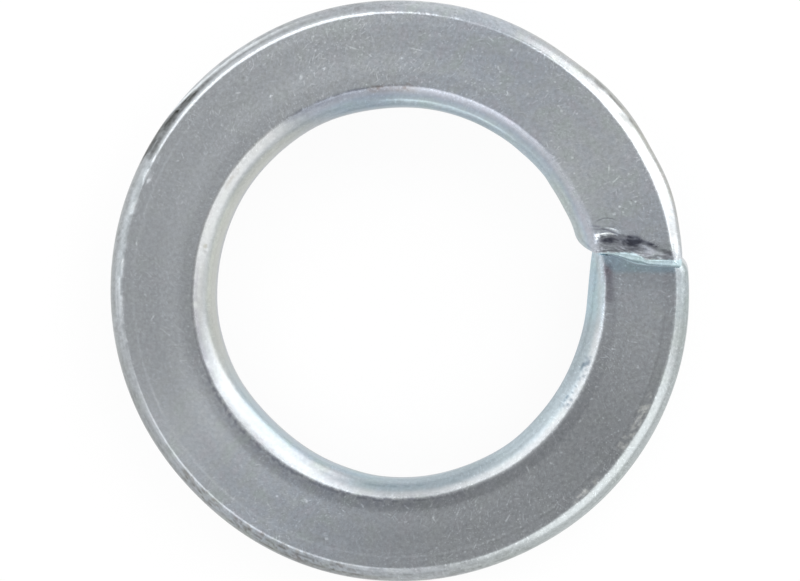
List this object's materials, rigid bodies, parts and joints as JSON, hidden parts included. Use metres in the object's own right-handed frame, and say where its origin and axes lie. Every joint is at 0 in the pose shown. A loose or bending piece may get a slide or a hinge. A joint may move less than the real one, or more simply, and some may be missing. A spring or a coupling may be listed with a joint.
{
  "type": "spring lock washer",
  "caption": "Helical spring lock washer: one left-hand turn of rounded rectangular zinc-plated steel bar, sheared on a slant so its two ends stand offset.",
  "frame": {"origin": "on the bore axis, level with the underside of the coil's low end, which is the lowest point of the part", "axes": "+Z along the bore axis, up through the coil; +X towards the split; +Y completes the right-handed frame, and the coil falls from its high end just on the +Y side of the split, round through +Y, -X and -Y, to its low end"},
  "size_m": [0.0328, 0.0328, 0.0084],
  "materials": {
    "zinc_plated_steel": "bright zinc plating over tumbled spring steel, with a faint clear-blue passivation and light scratches"
  },
  "bodies": {
    "root": {"lock_washer": "zinc_plated_steel"}
  },
  "joints": []
}
